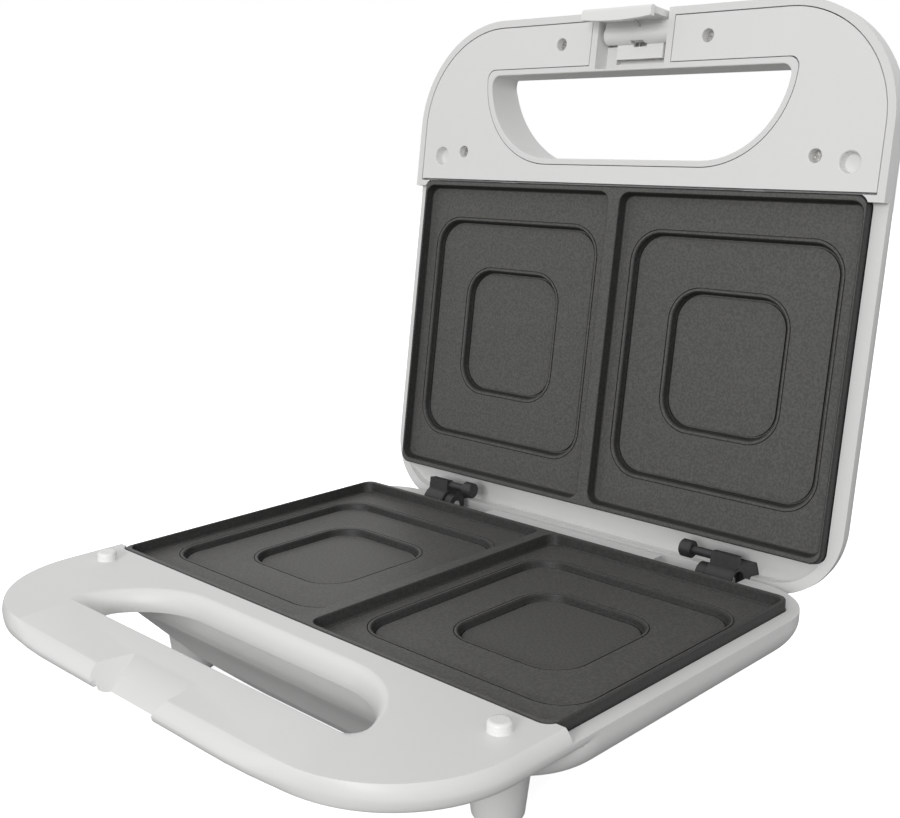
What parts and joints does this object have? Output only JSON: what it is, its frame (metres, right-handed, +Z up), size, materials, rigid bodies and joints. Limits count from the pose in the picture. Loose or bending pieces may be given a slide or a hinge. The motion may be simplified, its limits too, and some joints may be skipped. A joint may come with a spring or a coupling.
{
  "type": "sandwich toaster",
  "caption": "Hinged contact toaster: two stepped non-stick plates in a moulded base and lid, with a carry handle, latch and pinned rear hinges.",
  "frame": {"origin": "centre of the footprint of the open toaster, on the surface that the feet stand on", "axes": "+Z up, +Y from the handle towards the hinge, +X to the right as seen from the handle"},
  "size_m": [0.232, 0.275, 0.2564],
  "materials": {
    "white_plastic": "satin moulded white plastic",
    "black_plastic": "fine matt black plastic",
    "nonstick": "cast aluminium with a dark non-stick coating",
    "rubber": "soft matt rubber",
    "pad_rubber": "grey matt rubber",
    "steel": "plain steel",
    "tube": "heat-darkened steel sheath",
    "sheet": "bright aluminised sheet",
    "ceramic": "off-white insulation",
    "lens_red": "clear red lens",
    "lamp_glass": "small neon lamp"
  },
  "bodies": {
    "base": {"base_shell": "white_plastic", "foot_pads": "pad_rubber", "locating_pins": "white_plastic", "lower_plate": "nonstick", "lower_element": "tube", "lower_clamps": "steel", "lower_reflector": "sheet", "lower_clips": "steel", "hinge_lugs": "black_plastic", "hinge_pins": "steel", "lug_screws": "steel", "thermostat": "black_plastic", "thermal_fuse": "ceramic", "terminal_block": "ceramic", "inlet_bush": "rubber"},
    "lid": {"lid_shell": "white_plastic", "handle_cover": "white_plastic", "cover_screws": "steel", "upper_plate": "nonstick", "upper_element": "tube", "upper_clamps": "steel", "upper_reflector": "sheet", "upper_clips": "steel", "hinge_arms": "black_plastic", "arm_screws": "steel", "lamp_lenses": "lens_red", "neon_lamps": "lamp_glass", "lamp_holder": "ceramic", "latch_pin": "steel", "latch_spring": "steel"},
    "latch": {"latch_lever": "white_plastic"}
  },
  "joints": [
    {"name": "lid_hinge", "type": "hinge", "parent": "base", "child": "lid", "pos_m": [0, 0.07855, 0.0405], "axis": [1, 0, 0], "range_deg": [0, 97.86]},
    {"name": "latch_pivot", "type": "hinge", "parent": "lid", "child": "latch", "pos_m": [0, 0.11926, 0.24697], "axis": [-1, 0, 0], "range_deg": [0, 18], "stiffness_Nm_per_rad": 0.05, "springref_deg": -20.05}
  ]
}
